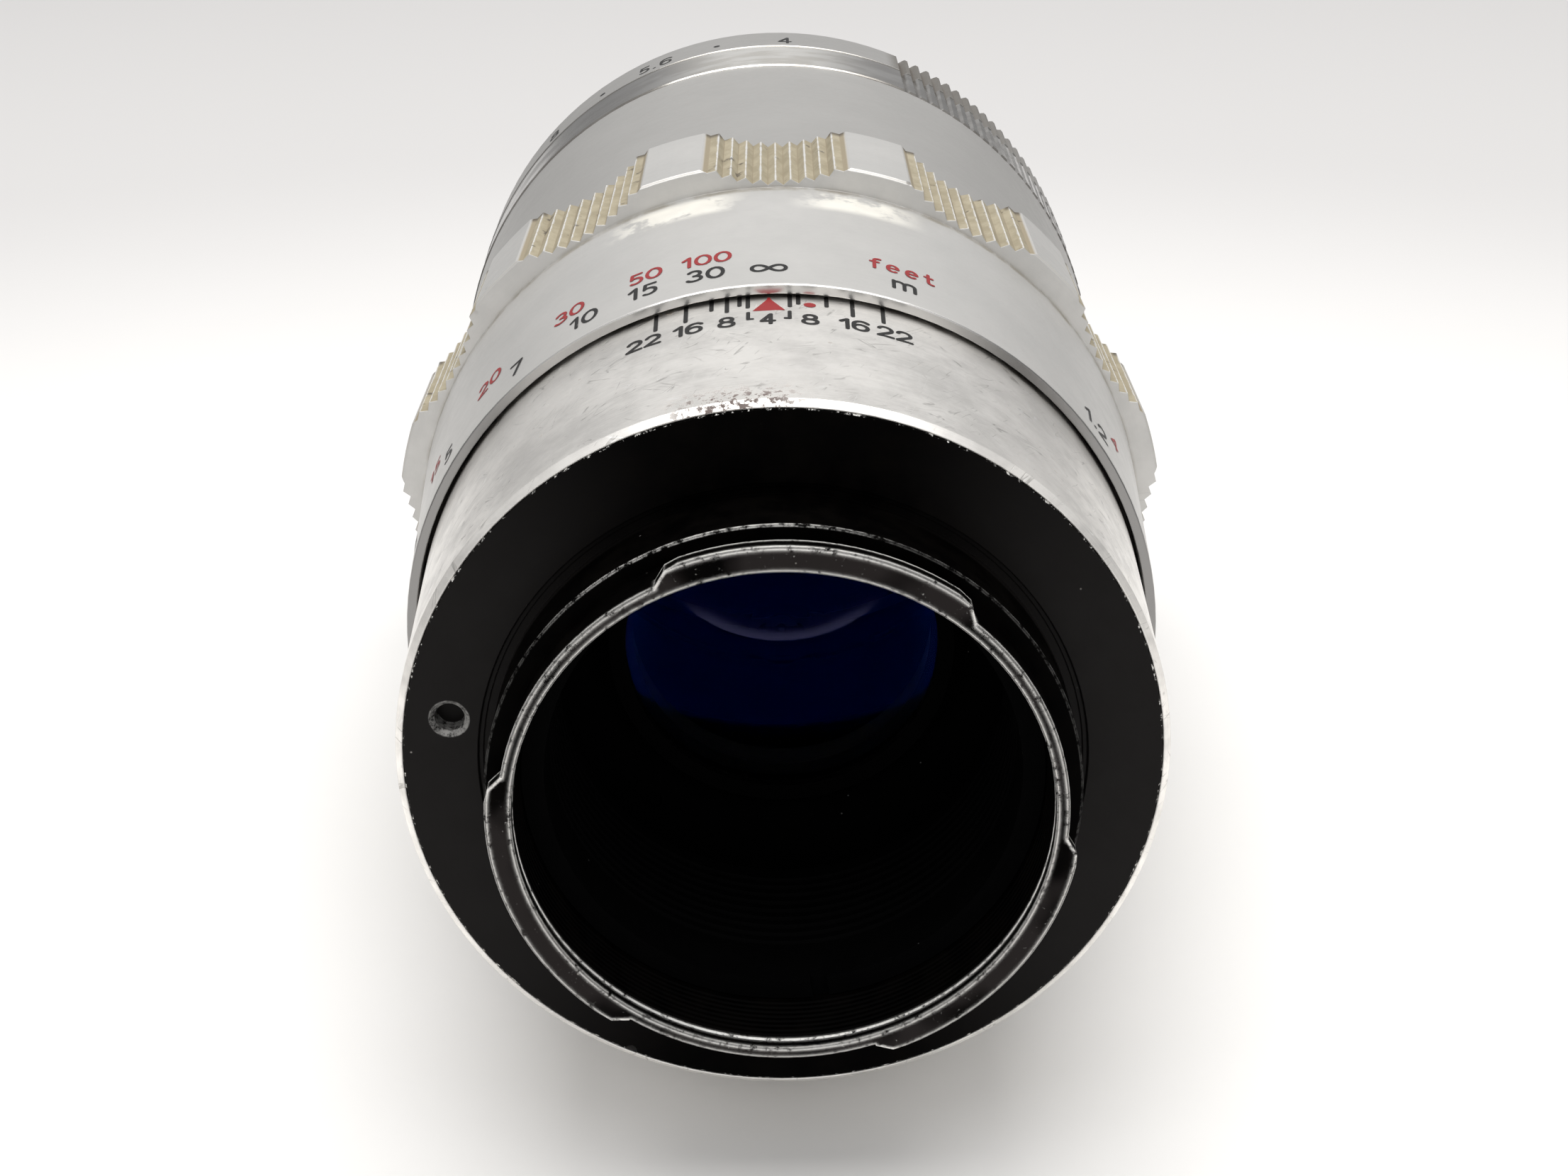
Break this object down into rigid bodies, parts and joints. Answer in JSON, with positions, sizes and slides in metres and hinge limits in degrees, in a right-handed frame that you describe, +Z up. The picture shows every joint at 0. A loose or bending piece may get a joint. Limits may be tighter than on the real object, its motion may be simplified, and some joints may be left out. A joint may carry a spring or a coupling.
{
  "type": "prime camera lens",
  "caption": "Long prime camera lens with a scalloped focusing ring, a front aperture ring, a working iris and a clawed bayonet mount.",
  "frame": {"origin": "centre of the mount flange's seating face, on the optical axis", "axes": "+Y along the optical axis towards the front glass, +Z up with the focusing index on top, lens lying on its side"},
  "size_m": [0.0706, 0.1194, 0.0706],
  "materials": {
    "satin_metal": "satin",
    "helicoid_metal": "machined",
    "black_mount": "satin",
    "black_matte": "matte",
    "brass": "machined",
    "steel": "machined",
    "blade_black": "satin",
    "coated_glass": "polished"
  },
  "bodies": {
    "fixed_body": {"bayonet_mount": "black_mount", "fixed_barrel": "satin_metal", "focus_sleeve": "helicoid_metal", "guide_key_1": "brass", "guide_key_2": "brass", "guide_screw_1": "steel", "guide_screw_2": "steel", "rear_baffle": "black_matte", "mount_screw_1": "steel", "mount_screw_2": "steel", "mount_screw_3": "steel", "mount_screw_4": "steel"},
    "optical_unit": {"inner_barrel": "black_matte", "focus_retaining_ring": "black_matte", "rear_cell": "black_matte", "rear_element": "coated_glass", "rear_retaining_ring": "black_matte", "middle_baffle": "black_matte", "front_barrel": "satin_metal", "joining_screw_1": "steel", "joining_screw_2": "steel", "joining_screw_3": "steel", "iris_housing": "black_matte", "iris_retaining_ring": "steel", "front_cell": "black_matte", "second_element": "coated_glass", "element_spacer": "black_matte", "front_element": "coated_glass", "front_retaining_ring": "black_matte", "front_cover_ring": "black_matte", "filter_rim": "satin_metal", "click_ball": "steel", "click_spring": "steel", "click_spring_screw": "steel"},
    "focusing_ring": {"focus_ring": "satin_metal", "helicoid_nut": "brass"},
    "stop_ring": {"aperture_ring": "satin_metal", "aperture_drive_pin": "steel", "iris_cam_ring": "black_matte"},
    "blade_1": {"iris_blade_1": "blade_black"},
    "blade_2": {"iris_blade_2": "blade_black"},
    "blade_3": {"iris_blade_3": "blade_black"},
    "blade_4": {"iris_blade_4": "blade_black"},
    "blade_5": {"iris_blade_5": "blade_black"},
    "blade_6": {"iris_blade_6": "blade_black"},
    "blade_7": {"iris_blade_7": "blade_black"},
    "blade_8": {"iris_blade_8": "blade_black"},
    "blade_9": {"iris_blade_9": "blade_black"},
    "blade_10": {"iris_blade_10": "blade_black"},
    "blade_11": {"iris_blade_11": "blade_black"},
    "blade_12": {"iris_blade_12": "blade_black"}
  },
  "joints": [
    {"name": "focus_slide", "type": "slide", "parent": "fixed_body", "child": "optical_unit", "axis": [0, 1, 0], "range_m": [0, 0.02003]},
    {"name": "focus_turn", "type": "hinge", "parent": "optical_unit", "child": "focusing_ring", "pos_m": [0, 0.05, 0], "axis": [0, 1, 0], "range_deg": [0, 303.4]},
    {"name": "aperture_turn", "type": "hinge", "parent": "optical_unit", "child": "stop_ring", "pos_m": [0, 0.099, 0], "axis": [0, 1, 0], "range_deg": [0, 119]},
    {"name": "blade_1_turn", "type": "hinge", "parent": "optical_unit", "child": "blade_1", "pos_m": [0, 0.09125, 0.023], "axis": [0, 1, 0], "range_deg": [0, 35.3]},
    {"name": "blade_2_turn", "type": "hinge", "parent": "optical_unit", "child": "blade_2", "pos_m": [0.0115, 0.09138, 0.01992], "axis": [0, 1, 0], "range_deg": [0, 35.3]},
    {"name": "blade_3_turn", "type": "hinge", "parent": "optical_unit", "child": "blade_3", "pos_m": [0.01992, 0.09152, 0.0115], "axis": [0, 1, 0], "range_deg": [0, 35.3]},
    {"name": "blade_4_turn", "type": "hinge", "parent": "optical_unit", "child": "blade_4", "pos_m": [0.023, 0.09165, 0], "axis": [0, 1, 0], "range_deg": [0, 35.3]},
    {"name": "blade_5_turn", "type": "hinge", "parent": "optical_unit", "child": "blade_5", "pos_m": [0.01992, 0.09179, -0.0115], "axis": [0, 1, 0], "range_deg": [0, 35.3]},
    {"name": "blade_6_turn", "type": "hinge", "parent": "optical_unit", "child": "blade_6", "pos_m": [0.0115, 0.09192, -0.01992], "axis": [0, 1, 0], "range_deg": [0, 35.3]},
    {"name": "blade_7_turn", "type": "hinge", "parent": "optical_unit", "child": "blade_7", "pos_m": [0, 0.09205, -0.023], "axis": [0, 1, 0], "range_deg": [0, 35.3]},
    {"name": "blade_8_turn", "type": "hinge", "parent": "optical_unit", "child": "blade_8", "pos_m": [-0.0115, 0.09219, -0.01992], "axis": [0, 1, 0], "range_deg": [0, 35.3]},
    {"name": "blade_9_turn", "type": "hinge", "parent": "optical_unit", "child": "blade_9", "pos_m": [-0.01992, 0.09232, -0.0115], "axis": [0, 1, 0], "range_deg": [0, 35.3]},
    {"name": "blade_10_turn", "type": "hinge", "parent": "optical_unit", "child": "blade_10", "pos_m": [-0.023, 0.09246, 0], "axis": [0, 1, 0], "range_deg": [0, 35.3]},
    {"name": "blade_11_turn", "type": "hinge", "parent": "optical_unit", "child": "blade_11", "pos_m": [-0.01992, 0.09259, 0.0115], "axis": [0, 1, 0], "range_deg": [0, 35.3]},
    {"name": "blade_12_turn", "type": "hinge", "parent": "optical_unit", "child": "blade_12", "pos_m": [-0.0115, 0.09272, 0.01992], "axis": [0, 1, 0], "range_deg": [0, 35.3]}
  ],
  "couplings": [
    {"joint": "focus_slide", "follows": "focus_turn", "m_per_rad": 0.0037825},
    {"joint": "blade_1_turn", "follows": "aperture_turn", "ratio": 0.29663},
    {"joint": "blade_2_turn", "follows": "aperture_turn", "ratio": 0.29663},
    {"joint": "blade_3_turn", "follows": "aperture_turn", "ratio": 0.29663},
    {"joint": "blade_4_turn", "follows": "aperture_turn", "ratio": 0.29663},
    {"joint": "blade_5_turn", "follows": "aperture_turn", "ratio": 0.29663},
    {"joint": "blade_6_turn", "follows": "aperture_turn", "ratio": 0.29663},
    {"joint": "blade_7_turn", "follows": "aperture_turn", "ratio": 0.29663},
    {"joint": "blade_8_turn", "follows": "aperture_turn", "ratio": 0.29663},
    {"joint": "blade_9_turn", "follows": "aperture_turn", "ratio": 0.29663},
    {"joint": "blade_10_turn", "follows": "aperture_turn", "ratio": 0.29663},
    {"joint": "blade_11_turn", "follows": "aperture_turn", "ratio": 0.29663},
    {"joint": "blade_12_turn", "follows": "aperture_turn", "ratio": 0.29663}
  ]
}
